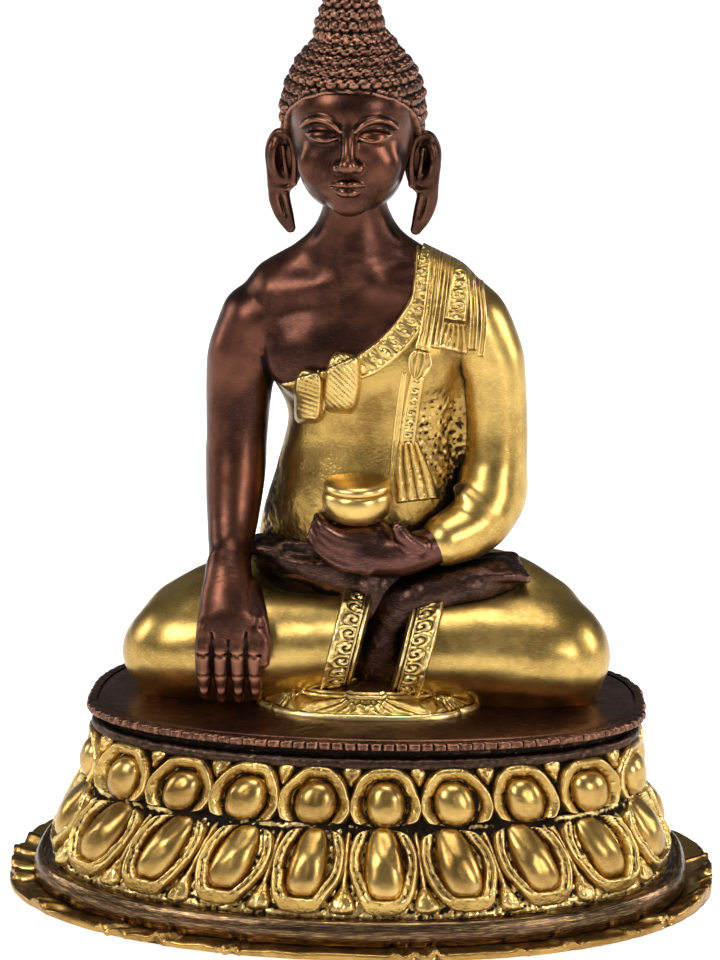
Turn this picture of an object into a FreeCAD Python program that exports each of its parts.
import FreeCAD, Part
import math
import os

V = FreeCAD.Vector

# Seated figure on a double lotus base, in millimetres. The origin is the centre of
# the underside, +Z is up, and the figure faces -Y with its right hand on the -X side.

# ---- base: levels above the table -------------------------------------------------
SHEET_THICK = 0.6
HEM_TOP = 2.2
FOOT_TOP = 6.6
WAIST_Z = 23.6
LIP_BOTTOM = 35.0
LIP_TOP = 37.4
WALL_TOP = 38.6
DECK_TOP = 41.0

# ---- base: plan sizes as (half width, front reach, back reach) and sideways lean -----
SHEET_PLAN = (77.0, 45.25, 45.25)
FOOT_PLAN = (70.6, 39.75, 39.5)
WALL_FOOT_PLAN = (66.6, 36.2, 36.2)
WALL_WAIST_PLAN = (58.6, 26.6, 33.0)
WALL_TOP_PLAN = (56.6, 22.8, 31.6)
LIP_PLAN = (59.0, 25.4, 34.2)
DECK_PLAN = (59.6, 24.6, 35.2)
DECK_LEAN = 1.4
FRONT_POWER = 2.1
BACK_POWER = 3.0
OUTLINE_POINTS = 40
HEM_WIDTH = 1.7
WALL_THICK = 3.6
FOOT_BULGE = 0.5

# ---- lotus petals --------------------------------------------------------------------
PETALS = 20
PETAL_PHASE = 0.44
DART_PHASE = PETAL_PHASE + 0.5
LOWER_MID_Z = 14.6
LOWER_HEIGHT = 15.6
LOWER_WIDTH = 15.6
UPPER_MID_Z = 29.3
UPPER_HEIGHT = 11.2
UPPER_WIDTH = 14.0
PETAL_PROUD = 2.6
PETAL_SUNK = 3.4
POCKET_DEPTH = 1.3
RIM_WIDTH = 2.5
BOSS_PROUD = 2.6
LOWER_BOSS = (3.8, 6.2)
UPPER_BOSS = (3.6, 3.7)
LOWER_BOSS_RISE = 1.0
UPPER_BOSS_DROP = 1.4
DART_HEIGHT = 5.0
DART_WIDTH = 4.2
DART_PROUD = 2.0

# ---- bead rim round the deck -----------------------------------------------------------
BEAD_PITCH = 2.7
BEAD_LONG = 2.1
BEAD_TALL = 1.7
BEAD_PROUD = 1.0

# ---- figure: heights and centre lines ---------------------------------------------------
TORSO_Y = 15.5
HEAD_X = -2.0
HEAD_Y = 12.6
CHIN_Z = 148.0
CROWN_Z = 182.6
HAIR_THICK = 1.7
NECK_BASE_Z = 141.0
NECK_R = 6.8
TENON_R = 3.4
TENON_LONG = 6.0
TOPKNOT_BASE_Z = 183.6
TOPKNOT_TOP_Z = 196.4
TOPKNOT_R = 7.0
FINIAL_TOP_Z = 205.0
PIN_R = 1.5
PIN_LONG = 12.0
RIVET_R = 2.2
RIVET_HEAD_R = 3.6
RIVET_HEAD_THICK = 1.2
RIVET_REACH = 6.0
TRIM_THICK = 1.1
FOLD_THICK = 3.0


def outline_radius(angle, plan, power):
    half_width, front, back = plan
    reach = front if math.sin(angle) < 0 else back
    across = abs(math.cos(angle) / half_width) ** power
    along = abs(math.sin(angle) / reach) ** power
    return (across + along) ** (-1.0 / power)


def outline_point(angle, plan, z):
    """Point of the plan outline: elliptical in front, squarer behind."""
    power = FRONT_POWER if math.sin(angle) < 0 else BACK_POWER
    r = outline_radius(angle, plan, power)
    lean = DECK_LEAN * min(max(z - FOOT_TOP, 0.0) / (WALL_TOP - FOOT_TOP), 1.0)
    return V(lean + r * math.cos(angle), r * math.sin(angle), z)


def smooth_loop(points):
    curve = Part.BSplineCurve()
    curve.interpolate(points, PeriodicFlag=True)
    return Part.Wire([curve.toShape()])


def outline_wire(plan, z):
    step = 2.0 * math.pi / OUTLINE_POINTS
    return smooth_loop([outline_point(i * step, plan, z) for i in range(OUTLINE_POINTS)])


def solid_from(shape):
    solid = shape if shape.ShapeType == "Solid" else shape.Solids[0]
    if solid.Volume < 0:
        solid.reverse()
    return solid


def slab(plan, z0, z1):
    return solid_from(Part.makeLoft([outline_wire(plan, z0), outline_wire(plan, z1)], True, True))


def grown(plan, amount):
    return tuple(side + amount for side in plan)


def between(plan_a, plan_b, t):
    return tuple(a + (b - a) * t for a, b in zip(plan_a, plan_b))


def wall_loft(inset):
    levels = [(FOOT_TOP, WALL_FOOT_PLAN), (WAIST_Z, WALL_WAIST_PLAN), (WALL_TOP, WALL_TOP_PLAN)]
    wires = [outline_wire(grown(plan, -inset), z) for z, plan in levels]
    return solid_from(Part.makeLoft(wires, True, False))


def save(name, shape):
    if not shape.isValid():
        print("invalid", name)
    for part in shape.Solids:
        if not part.isClosed() or part.Volume <= 0:
            print("bad solid in", name)
    print("%-20s solids %3d  volume %9.1f" % (name, len(shape.Solids), shape.Volume))
    shape.exportStep("parts/%s.step" % name)


def group(shapes):
    return Part.makeCompound([s for shape in shapes for s in shape.Solids])


def oval_wire(centre, side, other, r_side, r_other, points=14):
    loop = []
    for i in range(points):
        a = 2.0 * math.pi * i / points
        loop.append(centre + side * (r_side * math.cos(a)) + other * (r_other * math.sin(a)))
    return smooth_loop(loop)


def limb(stations, side_hint):
    """Tapering limb through (centre, side radius, other radius) stations."""
    wires = []
    for i, (centre, r_side, r_other) in enumerate(stations):
        before = stations[max(i - 1, 0)][0]
        after = stations[min(i + 1, len(stations) - 1)][0]
        run = (V(*after) - V(*before)).normalize()
        other = run.cross(V(*side_hint)).normalize()
        side = other.cross(run).normalize()
        wires.append(oval_wire(V(*centre), side, other, r_side, r_other))
    return solid_from(Part.makeLoft(wires, True, False))


def stack(levels):
    """Upright loft through (z, centre x, centre y, x radius, y radius) ovals."""
    wires = [oval_wire(V(x, y, z), V(1, 0, 0), V(0, 1, 0), rx, ry, 16) for z, x, y, rx, ry in levels]
    return solid_from(Part.makeLoft(wires, True, False))


def ball(centre, radii, turn_z=0.0, tilt_y=0.0):
    shape = Part.makeSphere(1.0)
    scale = FreeCAD.Matrix()
    scale.scale(*radii)
    shape = shape.transformGeometry(scale)
    shape.rotate(V(0, 0, 0), V(0, 1, 0), tilt_y)
    shape.rotate(V(0, 0, 0), V(0, 0, 1), turn_z)
    shape.translate(V(*centre))
    return solid_from(shape)


def joined(shapes):
    whole = shapes[0].multiFuse(shapes[1:]) if len(shapes) > 1 else shapes[0]
    return whole.removeSplitter()


def biggest(shape):
    return max(shape.Solids, key=lambda s: s.Volume)


def front_prism(points, y0, y1, smooth=False):
    """Prism along Y over a closed (x, z) outline."""
    loop = [V(x, y0, z) for x, z in points]
    wire = smooth_loop(loop) if smooth else Part.makePolygon(loop + [loop[0]])
    return solid_from(Part.Face(wire).extrude(V(0, y1 - y0, 0)))


# ===== base ==================================================================================

sheet = slab(SHEET_PLAN, 0.0, HEM_TOP)
tray = slab(grown(SHEET_PLAN, -HEM_WIDTH), SHEET_THICK, HEM_TOP + 1.0)
save("seal_plate", sheet.cut(tray))

foot_levels = [(SHEET_THICK, 0.0), (0.5 * (SHEET_THICK + FOOT_TOP), FOOT_BULGE), (FOOT_TOP, -0.4)]
foot_wires = [outline_wire(grown(FOOT_PLAN, bulge), z) for z, bulge in foot_levels]
foot_outer = solid_from(Part.makeLoft(foot_wires, True, False))
foot_inner = slab(grown(WALL_FOOT_PLAN, -WALL_THICK), SHEET_THICK - 1.0, FOOT_TOP + 1.0)
save("foot_band", foot_outer.cut(foot_inner))

wall_outer = wall_loft(0.0)
wall = wall_outer.cut(wall_loft(WALL_THICK))
save("lotus_wall", wall)


def wall_plan_at(z):
    if z < WAIST_Z:
        return between(WALL_FOOT_PLAN, WALL_WAIST_PLAN, (z - FOOT_TOP) / (WAIST_Z - FOOT_TOP))
    return between(WALL_WAIST_PLAN, WALL_TOP_PLAN, (z - WAIST_Z) / (WALL_TOP - WAIST_Z))


def even_angles(plan, count, phase):
    """Angles that share the outline's length equally, from the front centre."""
    fine = 1440
    start = -0.5 * math.pi
    points = [outline_point(start + 2.0 * math.pi * i / fine, plan, 0.0) for i in range(fine + 1)]
    run = [0.0]
    for a, b in zip(points, points[1:]):
        run.append(run[-1] + (b - a).Length)
    angles = []
    at = 0
    for k in range(count):
        goal = run[-1] * (k + phase) / count
        while run[at] < goal:
            at += 1
        angles.append(start + 2.0 * math.pi * at / fine)
    return angles


def wall_frame(angle, z):
    """Placement on the wall: local X across, local Y up the wall, local Z outward."""
    tiny = 0.01
    here = outline_point(angle, wall_plan_at(z), z)
    ahead = outline_point(angle + tiny, wall_plan_at(z), z)
    above = outline_point(angle, wall_plan_at(z + 0.5), z + 0.5)
    below = outline_point(angle, wall_plan_at(z - 0.5), z - 0.5)
    across = (ahead - here).normalize()
    up = (above - below).normalize()
    out = across.cross(up).normalize()
    up = out.cross(across)
    frame = FreeCAD.Matrix(across.x, up.x, out.x, here.x, across.y, up.y, out.y, here.y,
                           across.z, up.z, out.z, here.z, 0, 0, 0, 1)
    return FreeCAD.Placement(frame)


def tongue_face(width, height, point_down, inset=0.0):
    """U-shaped petal outline in the local XY plane, rounded at one end and open at the other."""
    half = 0.5 * width - inset
    low = -0.5 * height - inset
    high = 0.5 * height - inset
    shoulder = high - 1.15 * half
    bulge = half * 0.72
    arc_low = V(half, shoulder, 0)
    side_top = V(bulge, 0.5 * (shoulder + high) + 0.12 * half, 0)
    crown = V(0, high, 0)
    points = [V(-0.92 * half, low, 0), V(0.92 * half, low, 0), arc_low]
    edges = [Part.LineSegment(points[0], points[1]).toShape()]
    edges.append(Part.LineSegment(points[1], arc_low).toShape())
    edges.append(Part.Arc(arc_low, side_top, crown).toShape())
    edges.append(Part.Arc(crown, V(-side_top.x, side_top.y, 0), V(-half, shoulder, 0)).toShape())
    edges.append(Part.LineSegment(V(-half, shoulder, 0), points[0]).toShape())
    face = Part.Face(Part.Wire(edges))
    if point_down:
        face.rotate(V(0, 0, 0), V(0, 0, 1), 180)
    return face


def petal_blank(width, height, point_down):
    body = tongue_face(width, height, point_down)
    body.translate(V(0, 0, -PETAL_SUNK))
    body = body.extrude(V(0, 0, PETAL_SUNK + PETAL_PROUD))
    pocket = tongue_face(width, height, point_down, RIM_WIDTH)
    pocket.translate(V(0, 0, PETAL_PROUD - POCKET_DEPTH))
    return body.cut(pocket.extrude(V(0, 0, 2.0 * POCKET_DEPTH)))


def boss_blank(radii, offset):
    dome = Part.makeSphere(1.0, V(0, 0, 0), V(0, 0, 1), 0, 90, 360)
    scale = FreeCAD.Matrix()
    scale.scale(radii[0], radii[1], BOSS_PROUD)
    dome = dome.transformGeometry(scale)
    dome.translate(V(0, offset, PETAL_PROUD - POCKET_DEPTH))
    return solid_from(dome)


def dart_blank(point_up):
    rise = DART_HEIGHT if point_up else -DART_HEIGHT
    loop = [V(-0.5 * DART_WIDTH, 0, -PETAL_SUNK), V(0.5 * DART_WIDTH, 0, -PETAL_SUNK), V(0, rise, -PETAL_SUNK)]
    face = Part.Face(Part.makePolygon(loop + [loop[0]]))
    return solid_from(face.extrude(V(0, 0, PETAL_SUNK + DART_PROUD)))


def around(blank, z, phase, trim):
    pieces = []
    for angle in even_angles(wall_plan_at(z), PETALS, phase):
        piece = blank.copy()
        piece.Placement = wall_frame(angle, z).multiply(piece.Placement)
        pieces.append(biggest(piece.cut(wall_outer)) if trim else piece)
    return group(pieces)


lower_petals = around(petal_blank(LOWER_WIDTH, LOWER_HEIGHT, True), LOWER_MID_Z, PETAL_PHASE, True)
save("lower_petals", lower_petals)
lower_bosses = around(boss_blank(LOWER_BOSS, LOWER_BOSS_RISE), LOWER_MID_Z, PETAL_PHASE, False)
save("lower_petal_bosses", lower_bosses)
upper_petals = around(petal_blank(UPPER_WIDTH, UPPER_HEIGHT, False), UPPER_MID_Z, PETAL_PHASE, True)
save("upper_petals", upper_petals)
upper_bosses = around(boss_blank(UPPER_BOSS, -UPPER_BOSS_DROP), UPPER_MID_Z, PETAL_PHASE, False)
save("upper_petal_bosses", upper_bosses)
low_darts = around(dart_blank(True), LOWER_MID_Z - 0.5 * LOWER_HEIGHT + 0.6, DART_PHASE, True)
high_darts = around(dart_blank(False), UPPER_MID_Z + 0.5 * UPPER_HEIGHT - 0.4, DART_PHASE, True)
save("petal_darts", group([low_darts, high_darts]))

lip = slab(LIP_PLAN, LIP_BOTTOM, LIP_TOP).cut(wall_outer)
save("neck_moulding", lip)

deck = slab(DECK_PLAN, WALL_TOP, DECK_TOP)
rivet_spots = [V(-26, 17, 0), V(26, 17, 0), V(0, 24, 0)]
for spot in rivet_spots:
    hole = Part.makeCylinder(RIVET_R, 10.0, V(spot.x, spot.y, WALL_TOP - 2.0))
    deck = deck.cut(hole)
save("deck_plate", deck)

beads = []
deck_length = 2.0 * sum(DECK_PLAN) * 1.27
bead_count = int(deck_length / BEAD_PITCH)
for angle in even_angles(DECK_PLAN, bead_count, 0.5):
    here = outline_point(angle, DECK_PLAN, DECK_TOP - BEAD_TALL - 0.1)
    ahead = outline_point(angle + 0.01, DECK_PLAN, here.z)
    heading = math.degrees(math.atan2(ahead.y - here.y, ahead.x - here.x))
    bead = Part.makeBox(BEAD_LONG, BEAD_PROUD, BEAD_TALL, V(-0.5 * BEAD_LONG, -BEAD_PROUD - 0.04, 0))
    bead.rotate(V(0, 0, 0), V(0, 0, 1), heading)
    bead.translate(here)
    beads.append(bead)
save("bead_rim", group(beads))

# ===== torso =================================================================================

TORSO_LEVELS = [
    (DECK_TOP, 0.5, 16.6, 21.6, 12.4),
    (52.0, 0.5, 16.4, 22.6, 12.9),
    (64.0, 0.5, 16.0, 23.0, 13.1),
    (77.0, 0.5, TORSO_Y, 22.4, 12.9),
    (90.0, 0.4, TORSO_Y, 20.8, 12.4),
    (102.0, 0.6, TORSO_Y, 21.2, 12.4),
    (113.0, 0.2, TORSO_Y, 24.5, 12.6),
    (123.0, 0.0, TORSO_Y, 25.5, 11.2),
    (131.0, -0.6, 15.0, 19.0, 9.2),
    (136.0, -1.0, 14.5, 12.0, 7.8),
    (NECK_BASE_Z, -1.4, 14.0, NECK_R, NECK_R),
]


def torso_loft(extra):
    return stack([(z, x, y, rx + extra, ry + extra) for z, x, y, rx, ry in TORSO_LEVELS])


torso = torso_loft(0.0)
robe_edge = [(13.5, 146.0), (12.2, 137.0), (11.2, 130.5), (7.6, 124.0), (2.5, 119.0), (-3.2, 115.6),
             (-9.0, 113.4), (-15.0, 111.2), (-24.0, 107.5), (-40.0, 102.0)]
edge_curve = Part.BSplineCurve()
edge_curve.interpolate([V(x, -10.0, z) for x, z in robe_edge])
corner = V(-40.0, -10.0, 146.0)
skin_region = Part.Wire([edge_curve.toShape(),
                         Part.LineSegment(V(-40.0, -10.0, 102.0), corner).toShape(),
                         Part.LineSegment(corner, V(13.5, -10.0, 146.0)).toShape()])
above_robe = solid_from(Part.Face(skin_region).extrude(V(0, 50.0, 0)))
bare_torso = biggest(torso.common(above_robe))
robe_torso = biggest(torso.cut(above_robe))

thin_cover = torso_loft(TRIM_THICK)
thick_cover = torso_loft(FOLD_THICK)


def trim(points, cover):
    """Cloth trim lying on the chest: the cover over an (x, z) outline, less the torso."""
    return biggest(front_prism(points, -12.0, TORSO_Y).common(cover).cut(torso))


hem_band = trim([(-0.6, 117.0), (2.7, 118.8), (7.8, 123.8), (11.2, 130.0), (12.6, 136.0), (15.4, 135.0),
                 (15.0, 127.6), (12.4, 121.4), (7.4, 115.6), (1.6, 111.4)], thin_cover)
strap = trim([(16.2, 137.0), (22.6, 129.5), (24.4, 121.0), (21.0, 118.0), (17.4, 117.0), (15.9, 121.0),
              (15.9, 127.6), (15.9, 134.0)], thick_cover)
hanging_hem = trim([(8.4, 95.2), (12.2, 95.2), (13.2, 104.0), (15.4, 112.0), (12.9, 117.4),
                    (10.4, 113.5), (9.2, 104.0)], thin_cover)
fold_near = trim([(-15.6, 110.4), (-13.8, 103.0), (-9.0, 103.6), (-9.4, 112.0)], thick_cover)
fold_far = trim([(-8.3, 112.2), (-7.9, 105.2), (-0.9, 106.6), (-1.4, 116.4), (-6.0, 116.2)], thick_cover)
drape = trim([(9.0, 94.0), (20.0, 94.9), (19.5, 86.0), (14.0, 80.6), (10.0, 81.6)], thick_cover)

# ===== head, hair and ears =====================================================================

HEAD_LEVELS = [
    (CHIN_Z, HEAD_X, 6.0, 3.2, 3.6),
    (150.5, HEAD_X, 8.4, 7.0, 8.2),
    (156.0, HEAD_X, 11.4, 11.0, 12.8),
    (163.0, HEAD_X, HEAD_Y, 13.2, 15.2),
    (171.0, HEAD_X, HEAD_Y, 13.4, 15.4),
    (177.5, HEAD_X, HEAD_Y, 10.6, 12.4),
    (CROWN_Z - HAIR_THICK, HEAD_X, HEAD_Y, 5.6, 6.8),
]
skull = stack(HEAD_LEVELS)
neck = limb([((-1.4, 14.0, NECK_BASE_Z), NECK_R, NECK_R), ((-1.7, 13.4, 147.0), 6.3, 6.5),
             ((-2.0, 13.2, 155.0), 6.8, 7.2)], (1, 0, 0)).cut(torso)
nose = limb([((HEAD_X, -1.0, 166.0), 1.1, 1.0), ((HEAD_X, -2.4, 160.5), 1.4, 1.3),
             ((HEAD_X, -3.2, 157.6), 2.1, 1.5)], (1, 0, 0))
tenon = Part.makeCylinder(TENON_R, TENON_LONG + 1.0, V(-1.4, 14.0, NECK_BASE_Z - TENON_LONG))
head = biggest(joined([skull, neck, nose, tenon]))
bare_torso = bare_torso.cut(Part.makeCylinder(TENON_R, 20.0, V(-1.4, 14.0, NECK_BASE_Z - TENON_LONG)))
robe_torso = robe_torso.cut(Part.makeCylinder(TENON_R, 20.0, V(-1.4, 14.0, NECK_BASE_Z - TENON_LONG)))

hair_levels = [(z, x, y, rx + HAIR_THICK, ry + HAIR_THICK) for z, x, y, rx, ry in HEAD_LEVELS[1:-1]]
hair_levels.append((CROWN_Z - 1.4, HEAD_X, HEAD_Y, 7.6, 8.8))
hair_levels.append((CROWN_Z + 1.0, HEAD_X, HEAD_Y, 5.4, 6.4))
hair_outer = stack(hair_levels)
HAIRLINE_FRONT_Z = 169.6
HAIRLINE_BACK_Z = 151.0
below_hair = Part.Face(Part.makePolygon([
    V(-40, -20, HAIRLINE_FRONT_Z), V(-40, 4.0, HAIRLINE_FRONT_Z - 1.0), V(-40, 12.0, 163.0),
    V(-40, 30.0, HAIRLINE_BACK_Z), V(-40, 30.0, 100.0), V(-40, -20.0, 100.0), V(-40, -20, HAIRLINE_FRONT_Z)]))
below_hair = solid_from(below_hair.extrude(V(80, 0, 0)))
hair_cap = biggest(hair_outer.cut(below_hair).cut(head))

CURL_R = 1.15
CURL_GAP = 0.12
CURL_TIERS = 7
TIER_LOW_Z = 171.2
TIER_RISE = 1.75
curls = []
for tier in range(CURL_TIERS):
    z = TIER_LOW_Z + tier * TIER_RISE
    ring = hair_outer.slice(V(0, 0, 1), z)[0]
    count = int(ring.Length / 3.3)
    for point in ring.discretize(Number=count + 1)[:-1]:
        rise = 0.25 + 0.12 * tier
        out = V(point.x - HEAD_X, point.y - HEAD_Y, 0).normalize() + V(0, 0, rise)
        seat = point + out.normalize() * CURL_GAP
        curls.append(Part.makeSphere(CURL_R, seat, out, 0, 90, 360))
hair_curls = group(curls)

knot_levels = [(TOPKNOT_BASE_Z, TOPKNOT_R), (187.2, 6.3), (190.8, 5.2), (194.0, 3.9), (TOPKNOT_TOP_Z, 1.9)]
topknot = stack([(z, HEAD_X - 0.6, HEAD_Y, r, r) for z, r in knot_levels])
finial_levels = [(TOPKNOT_TOP_Z, 1.9), (198.6, 2.7), (200.8, 2.3), (203.0, 1.2), (FINIAL_TOP_Z, 0.35)]
finial = stack([(z, HEAD_X - 0.6, HEAD_Y, r, r) for z, r in finial_levels])
hair_cap = biggest(hair_cap.cut(topknot))


def ear(side):
    x = HEAD_X + side * 14.6
    blade = limb([((x + side * 0.6, 13.4, 163.2), 1.4, 2.2), ((x + side * 1.9, 12.8, 160.4), 1.9, 3.9),
                  ((x + side * 1.5, 12.2, 155.0), 1.8, 3.2), ((x + side * 0.2, 11.6, 148.0), 1.9, 2.6),
                  ((x - side * 1.8, 11.2, 142.0), 1.1, 1.7)], (1, 0, 0))
    return biggest(blade.cut(head).cut(hair_cap))


right_ear = ear(-1)
left_ear = ear(1)

# ===== arms and hands ============================================================================

right_arm = limb([((-19.6, 15.4, 127.6), 6.0, 6.4), ((-24.4, 15.4, 120.6), 7.9, 8.6),
                  ((-26.5, 14.6, 108.0), 7.4, 7.6), ((-27.1, 12.0, 93.0), 6.6, 6.8),
                  ((-27.5, 6.6, 80.0), 5.6, 5.6), ((-27.7, -1.4, 70.5), 5.0, 4.0)], (1, 0, 0))
right_arm = biggest(right_arm.cut(torso))
palm = limb([((-27.7, -1.4, 70.5), 5.0, 4.0), ((-27.0, -6.2, 65.4), 6.6, 3.0),
             ((-26.7, -9.2, 59.4), 7.4, 2.6)], (1, 0, 0))
fingers = []
for i in range(4):
    x = -32.2 + 3.7 * i
    tip_z = 45.6 - 1.2 * math.sin(math.pi * (i + 0.5) / 4.0)
    fingers.append(limb([((x, -8.2, 62.0), 1.5, 1.5), ((x, -10.0, 55.0), 1.74, 1.8),
                         ((x + 0.1, -9.9, 49.0), 1.66, 1.7), ((x + 0.1, -8.9, tip_z), 1.0, 1.0)], (1, 0, 0)))
thumb = limb([((-22.4, -5.2, 66.6), 2.0, 1.9), ((-20.4, -8.4, 61.0), 1.9, 1.7),
              ((-19.4, -10.2, 54.0), 1.3, 1.3)], (1, 0, 0))
right_hand = palm
for digit in fingers + [thumb]:
    right_hand = biggest(right_hand.fuse(digit))

left_sleeve = limb([((17.0, 15.2, 128.6), 6.2, 6.6), ((23.2, 15.0, 121.6), 8.0, 8.6),
                    ((27.8, 14.0, 110.0), 6.2, 7.6), ((28.6, 12.8, 96.0), 5.8, 7.2),
                    ((28.0, 10.5, 84.5), 6.4, 7.0), ((23.5, 6.0, 78.6), 6.6, 6.4),
                    ((17.8, 1.6, 77.4), 5.8, 5.6)], (1, 0, 0))
left_sleeve = biggest(left_sleeve.cut(torso).cut(strap).cut(drape))
left_hand = joined([
    limb([((17.8, 1.6, 76.6), 4.0, 4.2), ((11.0, -2.2, 74.6), 4.2, 3.8),
          ((3.0, -3.0, 75.0), 4.4, 3.6), ((-3.5, -2.0, 77.0), 3.8, 2.9),
          ((-8.2, 0.4, 79.6), 2.2, 1.6)], (0, 1, 0)),
    ball((7.2, -0.8, 79.4), (2.0, 1.8, 2.0))])
left_hand = biggest(left_hand.cut(left_sleeve).cut(torso))

BOWL_X = -0.2
BOWL_Y = -0.6
BOWL_BOTTOM = 82.2
BOWL_RIM = 90.0
BOWL_R = 7.6
bowl_profile = [(BOWL_BOTTOM, 4.6), (84.6, 7.0), (87.4, BOWL_R), (BOWL_RIM, 7.0)]
bowl_outer = stack([(z, BOWL_X, BOWL_Y, r, r) for z, r in bowl_profile])
bowl_well = Part.makeCone(4.2, 5.8, BOWL_RIM - 84.4, V(BOWL_X, BOWL_Y, 84.4))
BOWL_PEG_R = 1.6
peg = Part.makeCylinder(BOWL_PEG_R, 6.0, V(BOWL_X, BOWL_Y, 78.4))
left_hand = biggest(joined([left_hand, ball((0.8, -0.8, 78.6), (6.4, 4.6, 3.6))]).cut(bowl_outer).cut(torso))
left_hand = biggest(left_hand.cut(peg))
alms_bowl = biggest(bowl_outer.cut(bowl_well).cut(peg).cut(torso).cut(drape))
lid_dome = ball((BOWL_X, BOWL_Y, BOWL_RIM), (6.5, 6.5, 2.2))
lid_top = lid_dome.cut(Part.makeBox(40, 40, 20, V(BOWL_X - 20, BOWL_Y - 20, BOWL_RIM - 20)))
bowl_lid = biggest(joined([lid_top, bowl_well]).cut(torso).cut(drape).cut(peg))
bowl_lid = biggest(bowl_lid.cut(alms_bowl))

# ===== legs, cuffs and feet =========================================================================

below_deck = Part.makeBox(200, 200, 60, V(-100, -100, DECK_TOP - 60))


CUFF_Y = 1.0
CUFF_IN = 3.0
CUFF_OUT = 3.4


def beyond(x, side):
    """Half space past the upright plane at x, as a large block."""
    start = x if side > 0 else x - 200.0
    return Part.makeBox(200, 200, 200, V(start, -100, -20))


def leg(side, knee_x, cuff_x, cuff_z):
    """Folded thigh and shin as one cast mass, from the cuff out to the rounded knee."""
    reach = abs(knee_x - cuff_x)
    stations = [
        ((cuff_x, CUFF_Y, cuff_z), 10.0, 9.4),
        ((cuff_x + side * 0.25 * reach, 3.8, 54.0), 12.0, 12.2),
        ((cuff_x + side * 0.55 * reach, 5.2, 53.2), 12.8, 13.2),
        ((cuff_x + side * 0.80 * reach, 5.4, 50.2), 11.4, 11.0),
        ((cuff_x + side * 0.94 * reach, 5.4, 48.4), 8.2, 8.4),
        ((knee_x, 5.2, 47.6), 3.0, 3.4),
    ]
    mass = limb(stations, (0, 1, 0)).common(beyond(cuff_x + side * CUFF_IN, side))
    return biggest(mass.cut(below_deck).cut(torso))


def cuff(side, cuff_x, cuff_z):
    """Turned hem band that ends a trouser leg, meeting it on an upright plane."""
    band = limb([((cuff_x + side * (CUFF_IN + 1.0), CUFF_Y + 0.6, cuff_z), 11.8, 11.2),
                 ((cuff_x - side * 0.6, CUFF_Y, cuff_z), 10.9, 10.2),
                 ((cuff_x - side * CUFF_OUT, CUFF_Y, cuff_z), 9.4, 9.0)], (0, 1, 0))
    band = band.common(beyond(cuff_x + side * CUFF_IN, -side))
    return biggest(band.cut(below_deck).cut(torso))


right_leg = leg(-1, -51.2, -2.6, 55.8)
left_leg = leg(1, 53.2, 12.6, 54.6)
right_cuff = cuff(-1, -2.6, 55.8)
left_cuff = cuff(1, 12.6, 54.6)

right_foot = limb([((3.0, 3.4, 52.0), 5.0, 5.6), ((7.0, 2.8, 60.0), 5.2, 5.4), ((15.0, 2.6, 66.4), 4.6, 4.2),
                   ((25.0, 4.8, 68.8), 4.6, 4.0), ((33.4, 8.4, 69.8), 3.6, 2.6)], (0, 1, 0))
left_foot = limb([((5.0, 6.8, 60.0), 4.6, 5.0), ((-1.0, 5.2, 68.8), 4.8, 4.6), ((-8.0, 4.8, 71.6), 4.6, 3.9),
                  ((-15.0, 6.2, 72.8), 4.4, 3.7), ((-21.6, 8.4, 73.2), 2.8, 2.5)], (0, 1, 0))
for other in [right_cuff, left_cuff, left_leg, right_leg, torso]:
    right_foot = biggest(right_foot.cut(other))
    left_foot = biggest(left_foot.cut(other))
right_foot = biggest(right_foot.cut(left_sleeve).cut(left_hand))
left_foot = biggest(left_foot.cut(left_hand))
left_foot = biggest(left_foot.cut(right_foot))
left_foot = biggest(left_foot.cut(right_arm))
right_arm = biggest(right_arm.cut(right_leg))
right_hand = biggest(right_hand.cut(right_leg))
right_hand = biggest(right_hand.cut(right_arm))

# ===== cloth under the legs ===========================================================================

CLOTH_X = 2.0
CLOTH_HALF = 25.0
CLOTH_FRONT = 10.6
CLOTH_THICK = 2.0
LOBES = 3
cloth_loop = [V(CLOTH_X + CLOTH_HALF, 4.0, DECK_TOP)]
STEPS = 36
for i in range(1, STEPS):
    a = math.pi * i / STEPS
    scallop = 1.0 - 0.10 * abs(math.cos(0.5 * LOBES * math.pi * (2.0 * i / STEPS - 1.0)))
    cloth_loop.append(V(CLOTH_X + CLOTH_HALF * scallop * math.cos(a),
                        4.0 - (CLOTH_FRONT + 4.0) * scallop * math.sin(a), DECK_TOP))
cloth_loop.append(V(CLOTH_X - CLOTH_HALF, 4.0, DECK_TOP))
cloth = Part.Face(Part.makePolygon(cloth_loop + [cloth_loop[0]])).extrude(V(0, 0, CLOTH_THICK))
for other in [right_leg, left_leg, right_cuff, left_cuff, torso, right_hand]:
    cloth = biggest(cloth.cut(other))

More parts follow.
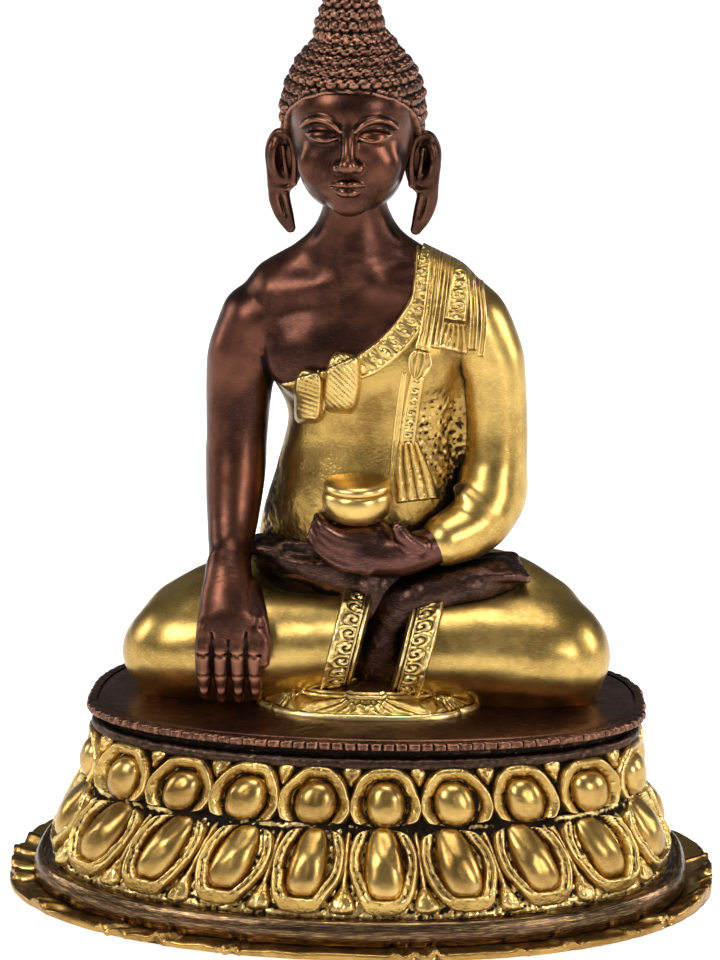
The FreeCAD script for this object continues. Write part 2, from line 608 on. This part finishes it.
# ===== fixings ==========================================================================================

shoulder_pins = []
for side, z in ((-1, 117.0), (1, 117.0)):
    start = V(side * 14.5 if side > 0 else -14.5, 15.4, z)
    pin = Part.makeCylinder(PIN_R, PIN_LONG, start, V(side, 0, 0))
    shoulder_pins.append(pin)
pins = group(shoulder_pins)
bare_torso = biggest(bare_torso.cut(shoulder_pins[0]))
robe_torso = robe_torso.cut(shoulder_pins[1]).cut(shoulder_pins[0])
right_arm = biggest(right_arm.cut(shoulder_pins[0]))
left_sleeve = biggest(left_sleeve.cut(shoulder_pins[1]))

rivets = []
for spot in rivet_spots:
    shank = Part.makeCylinder(RIVET_R, DECK_TOP - WALL_TOP + RIVET_REACH, V(spot.x, spot.y, WALL_TOP))
    rivet_head = Part.makeCylinder(RIVET_HEAD_R, RIVET_HEAD_THICK, V(spot.x, spot.y, WALL_TOP - RIVET_HEAD_THICK))
    rivets.append(joined([shank, rivet_head]))
figure_rivets = group(rivets)
for rivet in rivets:
    right_leg = biggest(right_leg.cut(rivet))
    left_leg = biggest(left_leg.cut(rivet))
    robe_torso = biggest(robe_torso.cut(rivet))

figure = [
    ("robe_torso", robe_torso), ("bare_torso", bare_torso), ("robe_hem_band", hem_band),
    ("shoulder_strap", strap), ("hanging_hem", hanging_hem), ("chest_fold", group([fold_near, fold_far])),
    ("sleeve_drape", drape), ("head", head), ("hair_cap", hair_cap), ("hair_curls", hair_curls),
    ("topknot", topknot), ("finial", finial), ("right_ear", right_ear), ("left_ear", left_ear),
    ("right_arm", right_arm), ("right_hand", right_hand), ("left_sleeve", left_sleeve),
    ("left_hand", left_hand), ("alms_bowl", alms_bowl), ("bowl_lid", bowl_lid), ("bowl_peg", peg),
    ("right_leg", right_leg), ("left_leg", left_leg), ("right_cuff", right_cuff), ("left_cuff", left_cuff),
    ("right_foot", right_foot), ("left_foot", left_foot), ("seat_cloth", cloth),
    ("shoulder_pins", pins), ("figure_rivets", figure_rivets),
]
for name, shape in figure:
    save(name, shape)
